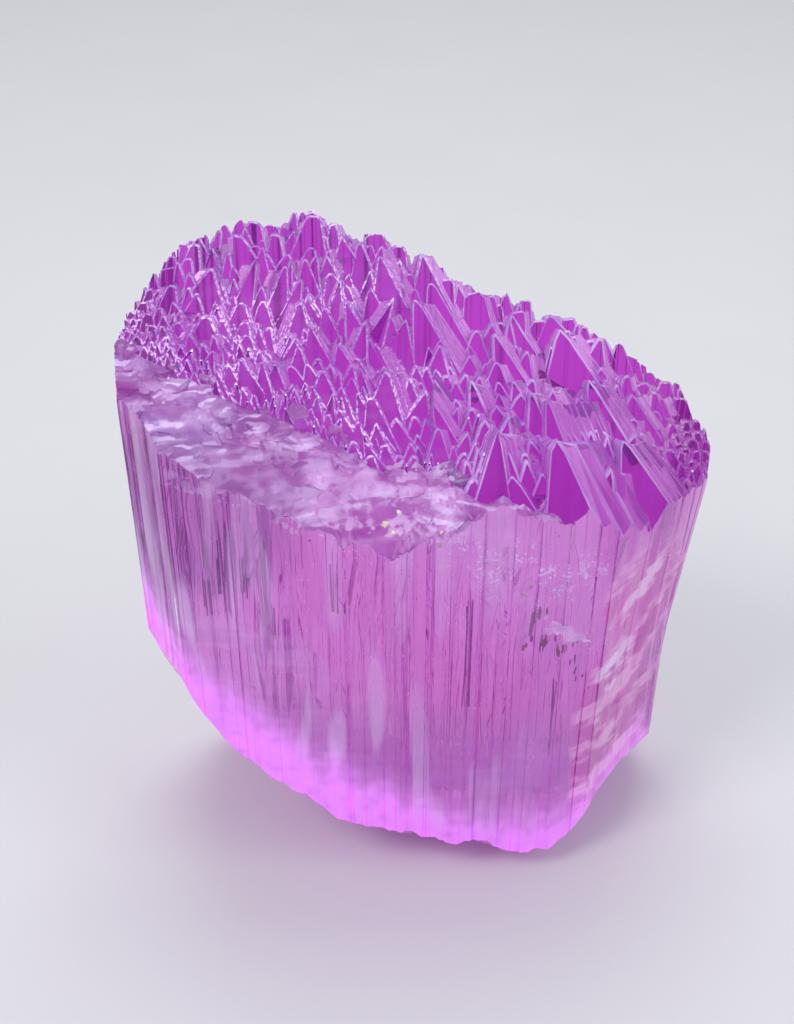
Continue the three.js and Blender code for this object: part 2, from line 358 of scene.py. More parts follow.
def templateFor(rows):
    # the mesh that the hillocks with this many rows share, and the order of its vertices
    if rows not in templates:
        bm, rings, faceRows = ringStack(6, rows)
        bm.verts.index_update()
        movePoints([v for ring in rings for v in ring],
                   [(math.cos(i), math.sin(i), -row) for row in range(rows + 1)
                    for i in np.arange(6) * math.pi / 3])
        bmesh.ops.recalc_face_normals(bm, faces=bm.faces)
        order = [v.index for ring in rings for v in ring]
        kinds = [smoothFace if row == -1 else treadFace if 2 <= row < rows - 1 and row % 2 == 0 else flankFace
                 for row in faceRows]
        templates[rows] = (meshFrom(bm, "template", kinds), order)
    return templates[rows]


def hillockRings(rng, layers, thick, height, width, side, beads, spread, drop, skew, inner):
    # outlines from the front face inwards: across, up and depth of six corners
    long, short = hillock["longFlank"] * spread, hillock["shortFlank"]
    even = 0.45 * (long + short)
    right, left = {1: (long, short), -1: (short, long), 0: (even, even)}[side]
    # the large ones and those away from the outline are sharp
    blunt = width * rng.uniform(*((0.03, 0.12) if width > 2.1 else (0.05, 0.3) if inner else (0.35, 0.65)))
    buried = height * hillock["roots"]
    shoulder = rng.uniform(0.06, 0.18)
    reach = blunt / 2 + (width - blunt) / 2 * hillock["roots"]
    bulge = blunt / 2 + (width - blunt) / 2 * (shoulder + 0.04)
    skew = rng.gauss(0, 0.13) if skew is None else skew
    base = np.array([(reach, -buried), (bulge, -shoulder * height), (blunt * 0.28, 0),
                     (-blunt * 0.28, rng.uniform(-0.04, 0.04) * height), (-bulge, -shoulder * height),
                     (-reach, -buried)])
    fan = 0.15 + 0.85 * (spread - 1.0) if spread > 1 else 0.15  # how much the crest widens too
    grow = np.array([1.0, 0.5 + 0.5 * fan, fan, fan, 0.5 + 0.5 * fan, 1.0])
    out = np.array([1, 1, 0.5, -0.5, -1, -1])
    rise = np.array([0, 0.5, 1, 1, 0.5, 0])
    depth = spreadRight = spreadLeft = lift = 0.0
    rim = hillock["rim"] * rng.uniform(0.6, 1.5)
    rings = []

    def ring(inset):
        outline = base.copy()
        outline[:, 0] -= skew * outline[:, 1]
        outline[:3, 0] += spreadRight * grow[:3]
        outline[3:, 0] -= spreadLeft * grow[3:]
        outline[:, 0] -= inset * out * 0.8
        outline[:, 1] += lift - inset * rise
        outline[2, 1] -= drop * spreadRight
        outline[3, 1] -= drop * spreadLeft
        rings.append(np.column_stack([outline, np.full(6, depth)]))

    ring(rim)
    depth = rim
    ring(0)
    for layer in range(layers):
        stride = thick * rng.uniform(0.7, 1.35)
        wobble = [rng.uniform(0.55, 1.5) for _ in range(2)]
        for share, grown in ((0.85, 0.25), (0.15, 0.75)):
            depth += stride * share
            lift += stride * share * hillock["crest"] + rng.uniform(-1, 1) * beads
            spreadRight += stride * right * grown * wobble[0]
            spreadLeft += stride * left * grown * wobble[1]
            ring(0)
    depth += 0.9
    lift -= 1.3
    ring(0)
    return rings


def addHillock(rng, tip, height, width, side, collection, beads=0.0, layers=None, spread=1.0, drop=0.25,
               skew=None):
    thick = rng.uniform(*hillock["layer"])
    if layers is None:
        layers = rng.choice((2, 2, 3, 4) if width < 1.3 else (3, 4, 5, 7))
        thick = (0.5 + 0.7 * width) / layers
    # away from the back and side outline
    inner = (tip[0] / 17.5) ** 2 + (tip[1] / 8.2) ** 2 < 0.62 or tip[1] < 0
    template, order = templateFor(2 + 2 * layers)
    rings = np.concatenate(
        hillockRings(rng, layers, thick, height, width, side, beads, spread, drop, skew, inner))
    turn = math.radians(rng.gauss(0, 4))
    across = sideFace * math.cos(turn) + upFace * math.sin(turn)
    up = upFace * math.cos(turn) - sideFace * math.sin(turn)
    points = np.zeros((len(order), 3))
    points[order] = np.array(tip) + rings[:, :1] * across + rings[:, 1:2] * up + rings[:, 2:] * intoFace
    mesh = template.copy()
    mesh.vertices.foreach_set("co", points.ravel())
    linked(mesh, "hillock", collection)


def hidesLeader(tip, height, width, named):
    # True if a hillock would stand in front of the face of a leading one
    tip = np.array(tip)
    for *place, tall, wide, _ in named:
        other = np.array(place)
        if tip @ intoFace > other @ intoFace:
            continue
        shown = (0.95 if tall > 3.4 else 0.7) * tall
        for down, way in ((0, 0), (0.35, -0.35), (0.35, 0.35), (0.7, -0.7), (0.7, 0.7)):
            below = other @ upFace - (tip @ upFace - down * height)
            aside = abs(tip[0] + way * width / 2 - other[0])
            if 0 < below < shown and aside < wide / 2 * below / tall:
                return True
    return False


def growHillocks():
    rng = random.Random(hillock["seed"])
    collection = newCollection("hillocks")
    named = list(leaders)
    for *tip, tall, wide, side in leaders:
        addHillock(rng, tip, tall, wide, side, collection, 0.02)
    for *tip, tall, wide, layers, spread, drop, skew in fans:
        side = 1 if skew > 0 else -1
        addHillock(rng, tip, tall, wide, side, collection, 0.03, layers, spread, drop, skew)
        named.append((*tip, tall * 0.6, wide, side))
    placed = []
    for trial in range(hillock["tries"]):
        x, y = rng.uniform(-16.5, 19), rng.uniform(-8.6, 8.6)
        if rng.random() > hillockField(x, y):
            continue
        size = np.interp(x, hillock["stations"], hillock["sizes"]) * rng.choice(hillock["sizeSpread"])
        size *= 1 - 0.25 * smoothStep(5.0, 7.0, y)  # smaller along the back
        size *= 1 - 0.5 * smoothStep(3.0, 1.0, y - np.interp(x, *roof["front"])) * (x < 2)  # and at the band
        if trial > hillock["tries"] // 2:  # small ones in the gaps
            size *= 0.55
        if any(((px - x) / (other + size)) ** 2 + ((py - y) / (other + size)) ** 2 < hillock["gap"]
               for px, py, other in placed):
            continue
        height = size * rng.uniform(0.8, 1.45)
        top = roofAt(x, y)[0] + rng.uniform(-0.45, 0.1) * size
        free = [drop for drop in hillock["lowered"]
                if not hidesLeader((x, y, top - drop * size), height, size, named)]
        if not free:
            continue
        left = smoothStep(-1.0, 3.0, -x)
        side = rng.choice((-1, -1, 0, 1) if rng.random() < left else (1, 1, 1, 0))
        addHillock(rng, (x, y, top - free[0] * size), height, size, side, collection, 0.02 + 0.04 * left)
        placed.append((x, y, size))
    print("hillocks:", len(placed) + len(named))
    return collection


flakes = {
    "count": 130,
    "corners": 7,
    "radius": (0.2, 0.66),
    "thick": (0.01, 0.06),
    "stretch": 1.5,  # longer along x
    "wobble": 0.15,  # how far each lies out of the ground's slope, in radians
    "seed": 23,
}
lumps = [((-14.4, -2.6, 32.3), 1.7), ((-15.2, -0.6, 32.8), 1.5)]  # rounded, at the far left: place and radius


def breakFlakes(collection):
    # thin chips and steps over the broken front band and the rim above the front faces
    rng = random.Random(flakes["seed"])
    for _ in range(flakes["count"]):
        x = rng.uniform(-15.5, 4.0)
        front = float(np.interp(x, *roof["front"]))
        y = rng.uniform(-8.8, front + 0.6)
        here, right, behind = roofAt([x, x + 0.8, x], [y, y, y + 0.8])
        bm, rings = ringStack(flakes["corners"], 1)[:2]
        size = rng.uniform(*flakes["radius"]) ** 1.2
        thick = rng.uniform(*flakes["thick"])
        corners = sorted(rng.uniform(0, 2 * math.pi) for _ in range(flakes["corners"]))
        reach = [size * rng.uniform(0.75, 1.2) for _ in corners]
        for ring, level, grown in zip(rings, (thick, -thick - 0.5), (1.0, 1.25)):
            movePoints(ring, [(flakes["stretch"] * r * grown * math.cos(t), r * grown * math.sin(t), level)
                              for t, r in zip(corners, reach)])
        turns = [math.atan((behind - here) / 0.8) + rng.gauss(0, flakes["wobble"]),
                 math.atan((here - right) / 0.8) + rng.gauss(0, flakes["wobble"]), rng.gauss(0, 0.4)]
        turned = Matrix.Translation((x, y, here - 0.25))
        for angle, axis in zip(turns, "XYZ"):
            turned = turned @ Matrix.Rotation(angle, 4, axis)
        bmesh.ops.transform(bm, matrix=turned, verts=bm.verts)
        bmesh.ops.recalc_face_normals(bm, faces=bm.faces)
        linked(meshFrom(bm, "flake", flakeFace), "flake", collection)
    for place, size in lumps:
        bm = bmesh.new()
        bmesh.ops.create_icosphere(bm, subdivisions=4, radius=size)
        points = pointsOf(bm.verts)
        bumps = 0.4 * noiseAt(points + place, 0.9, 5, 61.0)
        movePoints(bm.verts, points * (1 + bumps)[:, None] * (1.1, 0.9, 0.8) + place)
        linked(meshFrom(bm, "lump", brokenFace), "lump", collection)


# shell-shaped chips out of the right side: place on the wall, radius and depth
sideChips = [
    ((13.3, -5.9, 15.2), 3.4, 0.4), ((14.5, -4.6, 11.8), 2.7, 0.6), ((15.9, -3.1, 8.6), 2.4, 0.6),
    ((12.8, -6.4, 10.2), 2.0, 0.35), ((14.0, -5.2, 7.4), 2.2, 0.5), ((16.6, -2.4, 12.2), 2.2, 0.35),
    ((12.2, -7.0, 6.2), 1.6, 0.3), ((16.9, -2.0, 16.4), 2.4, 0.25),
]
outOfSide = np.array((0.72, -0.69, 0.1))  # the way the right front wall faces


def carveChips(collection):
    for place, radius, depth in sideChips:
        bm = bmesh.new()
        bmesh.ops.create_icosphere(bm, subdivisions=5, radius=1)
        points = pointsOf(bm.verts)
        centre = np.array(place) + outOfSide * (radius - depth)
        ripples = 0.012 * np.sin(22 * points[:, 2] + 4 * noiseAt(points, 1.2, 2, radius))
        points *= (1 + ripples + 0.05 * noiseAt(points, 1.0, 3, radius + 5))[:, None]
        movePoints(bm.verts, points * radius * (1, 1, 1.15) + centre)
        linked(meshFrom(bm, "chip", flakeFace), "chip", collection)


def addBoolean(body, operation, other):
    step = body.modifiers.new(operation, "BOOLEAN")
    step.operation, step.solver = operation, "MANIFOLD"
    if isinstance(other, bpy.types.Collection):
        step.operand_type, step.collection = "COLLECTION", other
    else:
        step.object = other


def toMetres(bm):
    # from the prism's axis, in millimetres, to the frame
    bmesh.ops.translate(bm, verts=bm.verts, vec=(*axisPlace, 0))
    bmesh.ops.scale(bm, verts=bm.verts, vec=(mm, mm, mm))


sharpAngles = (24, 50)  # degrees from which an edge stays sharp, on crisp and on broken faces


def buildCrystal():
    # the slab with its hillocks and flakes, cut to the prism, with the chips taken out of its side
    body = linked(buildSlab(slab), "crystal")
    cutter = linked(buildPrism(prism), "cutter")
    hillocks = growHillocks()
    breakFlakes(hillocks)
    shells = newCollection("shells")
    carveChips(shells)
    addBoolean(body, "UNION", hillocks)
    addBoolean(body, "INTERSECT", cutter)
    addBoolean(body, "DIFFERENCE", shells)
    graph = bpy.context.evaluated_depsgraph_get()
    mesh = bpy.data.meshes.new_from_object(body.evaluated_get(graph))
    for piece in [body, cutter, *hillocks.objects, *shells.objects]:
        bpy.data.objects.remove(piece)
    bpy.data.collections.remove(hillocks)
    bpy.data.collections.remove(shells)
    bm = bmesh.new()
    bm.from_mesh(mesh)
    bmesh.ops.triangulate(bm, faces=bm.faces)
    kindOf = bm.faces.layers.int["kind"]
    soft = (brokenFace, flakeFace, restFace)
    for edge in bm.edges:
        isBroken = all(face[kindOf] in soft for face in edge.link_faces)
        edge.smooth = edge.calc_face_angle(0) < math.radians(sharpAngles[isBroken])
    for face in bm.faces:
        face.smooth = face[kindOf] in (wallFace, *soft)
    toMetres(bm)
    openEdges = sum(len(e.link_faces) % 2 for e in bm.edges)
    bm.to_mesh(mesh)
    bm.free()
    mesh.name = "crystal"
    print("crystal:", len(mesh.polygons), "triangles,", openEdges, "open edges")
    return linked(mesh, "crystal")


crystal = buildCrystal()


def paintMasks(mesh):
    # three colour attributes for the material, made from the kinds of the faces
    kinds = np.empty(len(mesh.polygons), dtype=np.int32)
    mesh.attributes["kind"].data.foreach_get("value", kinds)
    corners = np.empty(len(mesh.polygons), dtype=np.int32)
    mesh.polygons.foreach_get("loop_total", corners)
    wall, smooth, flank, broken, rest, flake, tread = (kinds == kind for kind in range(treadFace + 1))
    full = np.ones(len(kinds))
    masks = {
        "roof": (smooth + 0.7 * tread, flank + 0.4 * tread, tread, full),
        "breaks": (broken | flake, flake, rest, full),
        "places": (wall, smooth | flank | tread, broken | flake | rest, full),
    }
    for name, channels in masks.items():
        colours = mesh.color_attributes.new(name, "FLOAT_COLOR", "CORNER")
        rows = np.column_stack(channels).astype(np.float32)
        colours.data.foreach_set("color", np.repeat(rows, corners, axis=0).ravel())
    mesh.attributes.remove(mesh.attributes["kind"])
    mesh.update()


paintMasks(crystal.data)
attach(crystal, "root")
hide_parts(node)


class Sock:
    # wraps a shader socket, so that maths on it adds Math nodes
    def __init__(self, board, socket):
        self.board, self.socket = board, socket

    def op(self, kind, *other):
        return self.board.add("Math", {"operation": kind}, dict(enumerate((self, *other))))

    def ramp(self, low, high):
        # 0 at low and 1 at high, eased between them
        return self.board.add("MapRange", {"interpolation_type": "SMOOTHSTEP"},
                              {"Value": self, "From Min": low, "From Max": high})

    def swayed(self, pattern, reach):
        # moved to and fro by a noise that runs from 0 to 1
        return pattern.op("MULTIPLY_ADD", reach, self) - reach / 2

    def __add__(self, other):
        return self.op("ADD", other)

    def __mul__(self, other):
        return self.op("MULTIPLY", other)

    def __sub__(self, other):
        return self.op("SUBTRACT", other)

    def __rsub__(self, other):
        return self.board.add("Math", {"operation": "SUBTRACT"}, {0: other, 1: self})

    def __pow__(self, other):
        return self.op("POWER", other)

    __radd__, __rmul__ = __add__, __mul__


class Board:
    # one material's nodes
    def __init__(self, name):
        self.material = bpy.data.materials.new(name)
        self.material.use_nodes = True
        self.tree = self.material.node_tree
        self.tree.nodes.clear()

    def add(self, kind, settings=None, inputs=None, output=0):
        made = self.tree.nodes.new("ShaderNode" + kind)
        for name, value in (settings or {}).items():
            setattr(made, name, value)
        for name, value in (inputs or {}).items():
            if isinstance(value, Sock):
                self.tree.links.new(value.socket, made.inputs[name])
            else:
                made.inputs[name].default_value = value
        return Sock(self, made.outputs[output]) if made.outputs else None

    def split(self, kind, source):
        # the three channels of a colour or a place
        first = self.add(kind, inputs={0: source})
        return [Sock(self, channel) for channel in first.socket.node.outputs[:3]]

    def painted(self, name):
        # the masks that paintMasks put on the faces
        settings = {"attribute_name": name, "attribute_type": "GEOMETRY"}
        return self.split("SeparateColor", self.add("Attribute", settings, output="Color"))

    def noise(self, place, scale, detail):
        return self.add("TexNoise", inputs={"Vector": place, "Scale": scale, "Detail": detail})

    def dot(self, one, two):
        return self.add("VectorMath", {"operation": "DOT_PRODUCT"}, {0: one, 1: two}, "Value")

    def mixColour(self, share, one, two):
        return self.add("Mix", {"data_type": "RGBA"}, {0: share, 6: one, 7: two}, 2)


kunzite = {
    "ior": 1.66,
    "gloss": (0.95, 0.62, 1.0, 1),  # tint of what it reflects
    "absorption": (0.89, 0.08, 0.89, 1),
    "density": 70.0,
    "paintedGlowStrength": 0.32,
    "bumpStrength": 0.4,
    "bumpDepth": 0.00012,
    # how the noises' place is stretched and turned, and the scale and detail of each noise
    "patterns": [
        (None, None, {"grain": (900.0, 1.0), "patches": (260.0, 1.0), "clouds": (120.0, 0.0),
                      "cells": (5200.0, 0.0)}),
        ((1, 1, 0.05), (0, 0, 0), {"streaks": (4200.0, 0.0), "broad": (1100.0, 1.0)}),
        ((1, 1, 0.16), (0, 0, 0), {"ribbons": (820.0, 0.0)}),
        ((0.35, 1, 3), (0.5, 0.38, 0), {"beds": (700.0, 1.0)}),
    ],
    "splinters": (1300.0, 0.0009),  # their scale, and how far the grain bends them
    # ragged patches on the front half: x, height and both reaches in millimetres, slant, and how far
    # from the middle they start to fade
    "spots": {
        # painted shade: a dark patch over the left of the front wall and of the band
        "gloom": (-10.6, 28.0, 7.0, 5.6, 0.0, 0.2),
        "milky": (-8.2, 19.0, 4.6, 1.6, 0.3, 0.2),
        "lowFeather": (9.9, 19.6, 1.9, 0.55, 0.95, 0.2),
        "highFeather": (8.4, 22.8, 1.2, 0.45, 0.8, 0.2),
        "wisps": (7.4, 24.4, 5.0, 2.6, 0.3, 0.0),
        # painted warm light seen through the lower middle
        "warm": (1.0, 15.0, 9.0, 5.5, 0.0, 0.2),
        "bandTop": (-10.8, 32.9, 2.2, 1.1, 0.0, 0.2),
        # painted highlights on the right side's shells
        "highSideHighlight": (15.4, 21.0, 2.4, 0.7, -0.5, 0.8),
        "lowSideHighlight": (13.4, 14.8, 1.5, 1.6, 0.0, 0.9),
    },
    # tints of the clear crystal, with a painted shade tint and a warmer pink for painted warm light seen
    # through it
    "wallTint": (0.94, 0.67, 0.92, 1),
    "warmTint": (1.0, 0.62, 0.84, 1),
    "roofTint": (0.52, 0.007, 0.64, 1),
    "sideTint": (0.88, 0.19, 0.70, 1),
    "leftTint": (0.76, 0.20, 0.80, 1),
    "sideTopTint": (0.56, 0.035, 0.56, 1),
    "paintedShadeTint": (0.30, 0.12, 0.36, 1),
    # colours of the frost on broken and stepped faces, among them painted shade, painted glow and painted
    # highlights
    "milk": ((0.35, 0.17, 0.54, 1), (0.58, 0.36, 0.76, 1)),
    # darker frost for the painted shade
    "gloomyMilk": (0.30, 0.16, 0.42, 1),
    "wallMilk": (0.80, 0.36, 0.86, 1),
    # frost of the flanks, lavender, and near white where painted glints fall on the beads
    "beads": ((0.56, 0.26, 0.90, 1), (0.88, 0.68, 1.0, 1)),
    "treads": (0.72, 0.15, 0.86, 1),
    "veins": (0.76, 0.52, 0.92, 1),
    "shells": ((0.66, 0.15, 0.56, 1), (0.90, 0.42, 0.82, 1)),
    # painted pale highlights on the right side's shells
    "paintedPaleHighlight": (0.86, 0.58, 0.95, 1),
    # painted glow of the underside
    "paintedUndersideGlow": (0.90, 0.30, 0.88, 1),
    "paintedGlowFrost": (0.82, 0.24, 1.0, 1),
    # painted light that the frost gives off: a painted glow low down and on the underside, and painted glints
    "noPaintedLight": (0, 0, 0, 1),
    "paintedGlowLight": (0.82, 0.18, 0.86, 1),
    "paintedGlints": (0.86, 0.55, 0.95, 1),
}


def addPatterns(board, place):
    made = {}
    for stretch, turn, noises in kunzite["patterns"]:
        ground = place
        if stretch:
            ground = board.add("Mapping", inputs={"Vector": place, "Rotation": turn, "Scale": stretch})
        for name, (scale, detail) in noises.items():
            made[name] = board.noise(ground, scale, detail)
    # splinters lie along the beds, the last of the grounds
    scale, bend = kunzite["splinters"]
    bent = board.add("VectorMath", {"operation": "ADD"}, {0: ground, 1: (made["grain"] - 0.5) * bend})
    tones = board.add("TexVoronoi", inputs={"Vector": bent, "Scale": scale}, output="Color")
    made["splinters"] = board.split("SeparateColor", tones)[0]
    return SimpleNamespace(**made)


def addMasks(board):
    # what the tints and the frost are made of: places in millimetres, shares from 0 to 1
    place = board.add("TexCoord", output="Object")
    flow = addPatterns(board, place)
    mask = SimpleNamespace()
    x, y, z = board.split("SeparateXYZ", place)
    mask.across, mask.back, mask.high = x * 1000.0 - axisPlace[0], y * 1000.0 - axisPlace[1], z * 1000.0
    mask.before = y.ramp(0.0, -0.003)
    mask.leftward = mask.across.ramp(7.0, -3.0)
    raggedAcross = mask.across.swayed(flow.patches, 5.0)
    raggedHigh = mask.high.swayed(flow.grain, 2.0).swayed(flow.clouds, 4.0)
    ragged = board.add("CombineXYZ", inputs={0: raggedAcross, 1: raggedHigh, 2: 1.0})

    def spot(name):
        acrossAt, highAt, acrossReach, highReach, slant, inner = kunzite["spots"][name]
        aside = board.dot(ragged, (1 / acrossReach, 0, -acrossAt / acrossReach))
        start = -(highAt + acrossAt * slant) / highReach
        above = board.dot(ragged, (slant / highReach, 1 / highReach, start))
        return mask.before * aside.op("MULTIPLY_ADD", aside, above * above).ramp(1.3, inner)

    # painted shade, painted warm light seen through the crystal, and feathery parts
    mask.gloom, mask.bandTop = spot("gloom"), spot("bandTop")
    # warmer pink: a painted warm light seen through the lower middle, and warmer streaks
    warm = spot("warm") * 0.7 + flow.ribbons.ramp(0.46, 0.36) * mask.before * 0.5
    mask.tint = board.mixColour(warm, kunzite["wallTint"], kunzite["warmTint"])
    milk = board.mixColour(flow.beds.ramp(0.35, 0.65), *kunzite["milk"])
    mask.milk = board.mixColour(mask.gloom * 0.75, milk, kunzite["gloomyMilk"])
    mask.feathers = (spot("lowFeather") + spot("highFeather")) * flow.beds.ramp(0.42, 0.58)

    # milky streaks and specks in the walls
    underBand = (mask.high - 25.5 + mask.across * 0.46).swayed(flow.clouds, 6.0).swayed(flow.beds, 3.0)
    haze = mask.before * underBand.ramp(-3.5, 0.8) * (1.0 - mask.gloom)
    mask.pale = (flow.broad + flow.clouds).ramp(1.0, 1.24) * 0.5 + haze + spot("milky")
    mask.wisps = spot("wisps") * (flow.grain * 0.55 + flow.cells * 0.45).ramp(0.53, 0.65)
    mask.columns = mask.before * flow.ribbons.ramp(0.52, 0.66) * mask.across.ramp(14.0, -2.0)

    # the right side, which broke into smooth shells, with painted highlights on them
    mask.around = mask.across * 0.69 + mask.back * 0.72
    mask.turned = mask.around.swayed(flow.patches, 2.6) + mask.high.ramp(18.0, 14.0) * 1.2
    shelled = mask.turned.ramp(3.0, 3.6) * mask.high.swayed(flow.clouds, 4.0).ramp(24.5, 21.0)
    mask.shells = shelled * mask.back.swayed(flow.patches, 8.0).ramp(-0.2, -1.6)
    reach = ((mask.around - 2.0) ** 2.0 + (mask.high - 27.0) ** 2.0) ** 0.5
    arcs = (reach * 2.1 + flow.beds * 5.0).op("SINE")
    mask.shellLight = (arcs * 0.12 + flow.patches * 0.5 + flow.grain * 0.5).ramp(0.42, 0.66)
    # painted pale highlights on the right side
    mask.side = (spot("highSideHighlight") * 0.6 + spot("lowSideHighlight")) * (arcs * 0.25 + flow.grain).ramp(0.3, 0.6)
    shellColour = board.mixColour(mask.shellLight, *kunzite["shells"])
    mask.shellColour = board.mixColour(mask.side, shellColour, kunzite["paintedPaleHighlight"])
    mask.shellShare = 0.26 + mask.shellLight * 0.22
    return mask, flow


def layered(board, colour, layers):
    # each layer is a share and a colour, or the name of one in the dictionary
    for share, laid in layers:
        colour = board.mixColour(share, colour, kunzite[laid] if isinstance(laid, str) else laid)
    return colour


def glassAndFrost(board, share, clear, frosted, roughness, frostRoughness, paintedLight, bump=None):
    # clear crystal and opaque frost, mixed by how much of each place is frost
    normal = {"Normal": bump} if bump else {}
    glass = board.add("BsdfPrincipled", inputs={
        "Base Color": clear, "Roughness": roughness, "IOR": kunzite["ior"],
        "Transmission Weight": 1.0, "Specular Tint": kunzite["gloss"], **normal})
    frost = board.add("BsdfPrincipled", inputs={
        # the frost's emission is painted light
        "Base Color": frosted, "Roughness": frostRoughness, "IOR": kunzite["ior"],
        "Emission Color": paintedLight, "Emission Strength": kunzite["paintedGlowStrength"], **normal})
    return board.add("MixShader", inputs={0: share, 1: glass, 2: frost})


def wallShader(board, mask, flow):
    # the prism's walls
    rim = 1.6 + (mask.across - 8.0) ** 2.0 * (0.011 + mask.before * 0.02)
    over = (mask.high - rim).swayed(flow.clouds, 2.5).swayed(flow.broad, 3.0)  # height over the break below
    # painted glow: a bright violet band low on the walls, over the break below, in frost colour and in
    # emitted light
    paintedGlow = over.ramp(6.2, 1.0)
    lift = mask.before * over.ramp(14.0, 7.0)
    # painted shade: dark streaks, mostly within the painted shade patch
    dark = (flow.streaks + flow.broad).ramp(1.06, 1.24) * (0.1 + mask.gloom * 0.9)
    sideTop = mask.high.ramp(20.5, 24.5) * mask.around.ramp(1.0, 3.8) * mask.before
    clear = layered(board, mask.tint, [
        (mask.high.ramp(25.0, 36.0) * 0.15, "roofTint"),
        (mask.turned.ramp(2.4, 3.8) * mask.before * 0.8, "sideTint"),
        (mask.across.ramp(-12.0, -14.5) * 0.8, "leftTint"),
        (sideTop * 0.9, "sideTopTint"),
        (dark * 0.8 + mask.gloom * 0.65, "paintedShadeTint")])
    frosted = layered(board, mask.milk, [
        ((1.0 - mask.gloom) * 0.6, "wallMilk"),
        (mask.columns + mask.wisps, "veins"),
        (mask.shells, mask.shellColour),
        (paintedGlow, "paintedGlowFrost")])
    paintedShine = paintedGlow * (0.3 + flow.grain) * (0.4 + mask.before * 0.6)
    paintedLight = board.mixColour(paintedShine, kunzite["noPaintedLight"], kunzite["paintedGlowLight"])
    # painted highlight: a pale line along the edge between the front and the right side
    paintedEdgeGlint = (mask.turned - 3.1).op("ABSOLUTE").ramp(0.3, 0.05) * mask.shells
    share = lift * 0.26 + paintedGlow * (0.35 + flow.grain * 0.8) * (0.55 + mask.before * 0.45)
    share = share + mask.pale * 0.2 + 0.04 + mask.columns * 0.2 + mask.feathers * 0.55 + mask.wisps * 0.5
    share = share + mask.shells * mask.shellShare + mask.side * 0.22 + paintedEdgeGlint * 0.4
    return glassAndFrost(board, share, clear, frosted, 0.03, 0.2, paintedLight)


def roofShader(board, mask, flow, front, flank, tread, bump):
    # the hillocks: smooth front faces, and flanks that step up in treads
    # painted glints: patches where the flanks' frost turns near white and gives off light, and the front
    # faces frost a little
    paintedGlint = flow.patches.ramp(0.4, 0.6)
    beads = flow.cells.ramp(0.4, 0.6) * mask.leftward + (1.0 - mask.leftward) * 0.65
    beadsAndGlints = beads * (0.35 + paintedGlint * 0.65)
    clear = board.mixColour(front, mask.tint, kunzite["roofTint"])
    frosted = layered(board, mask.milk, [
        (flank, board.mixColour(beadsAndGlints, *kunzite["beads"])),
        (tread, "treads")])
    paintedShine = flank * beadsAndGlints * paintedGlint * mask.leftward * 0.6
    paintedLight = board.mixColour(paintedShine, kunzite["noPaintedLight"], kunzite["paintedGlints"])
    fewer = 1.0 - mask.across.ramp(12.5, 16.0) * 0.55
    froth = mask.back.ramp(-2.0, -5.0) * mask.leftward * flow.beds.ramp(0.4, 0.6)
    share = (flank * (0.42 + beadsAndGlints * 0.45 - tread * 0.3) + tread * 0.14) * fewer
    share = share + front * (mask.leftward * paintedGlint * 0.12 + froth * 0.25)
    roughness = 0.03 + front * 0.18 + flank * 0.12
    return glassAndFrost(board, share, clear, frosted, roughness, 0.2, paintedLight, bump)


def brokenShader(board, mask, flow, broken, chip, rest, bump):
    # the broken band, the chips and the break below
    veined = (flow.beds * 0.8 + flow.grain * 0.2).ramp(0.56, 0.66)
    chipped = flow.splinters.ramp(0.45, 0.95) * (flow.patches * 0.6 + flow.clouds * 0.4).ramp(0.4, 0.6)
    clear = layered(board, mask.tint, [
        (mask.turned.ramp(2.4, 3.8) * mask.before * chip * 0.8, "sideTint"),
        # painted shade on the left of the band
        (mask.gloom * broken * 0.65, "paintedShadeTint")])
    shells = mask.shells * chip
    frosted = layered(board, mask.milk, [
        ((veined * 0.5 + chipped * 0.8) * broken, "veins"),
        (shells, mask.shellColour),
        (rest, "paintedUndersideGlow")])
    # painted glow: the underside lights up and gives off light, though no lamp is there
    paintedLight = board.mixColour(rest * (0.4 + flow.grain * 0.6), kunzite["noPaintedLight"], kunzite["paintedGlowLight"])
    share = 0.17 + flow.patches.ramp(0.35, 0.7) * 0.15 + mask.bandTop * 0.4
    share = broken * (share + veined * 0.16 + chipped * 0.5 + mask.feathers * 0.55)
    share = share + shells * mask.shellShare + mask.side * chip * 0.22 + rest * 0.5
    roughness = 0.03 + broken * (0.2 + flow.grain * 0.25) + rest * (0.15 + flow.grain * 0.2)
    return glassAndFrost(board, share, clear, frosted, roughness, broken * 0.2 + 0.2, paintedLight, bump)


def kunziteMaterial():
    # one shader for the walls, one for the roof and one for the breaks, and the colour in the volume
    board = Board("kunzite")
    mask, flow = addMasks(board)
    front, flank, tread = board.painted("roof")
    broken, chip, rest = board.painted("breaks")
    onWalls, onRoof, onBreaks = board.painted("places")
    relief = flow.cells * (flank - tread * 0.4) * 2.0 + (flow.beds + flow.cells) * onBreaks * 0.55
    bump = board.add("Bump", inputs={
        "Strength": kunzite["bumpStrength"], "Distance": kunzite["bumpDepth"], "Height": relief})
    roofs = roofShader(board, mask, flow, front, flank, tread, bump)
    breaks = brokenShader(board, mask, flow, broken, chip, rest, bump)
    shader = board.add("MixShader", inputs={0: onRoof, 1: breaks, 2: roofs})
    shader = board.add("MixShader", inputs={0: onWalls, 1: shader, 2: wallShader(board, mask, flow)})
    volume = board.add("VolumeAbsorption", inputs={
        "Color": kunzite["absorption"], "Density": kunzite["density"]})
    board.add("OutputMaterial", inputs={"Surface": shader, "Volume": volume})
    return board.material


def dress(piece, material):
    piece.data.materials.clear()
    piece.data.materials.append(material)


dress(crystal, kunziteMaterial())


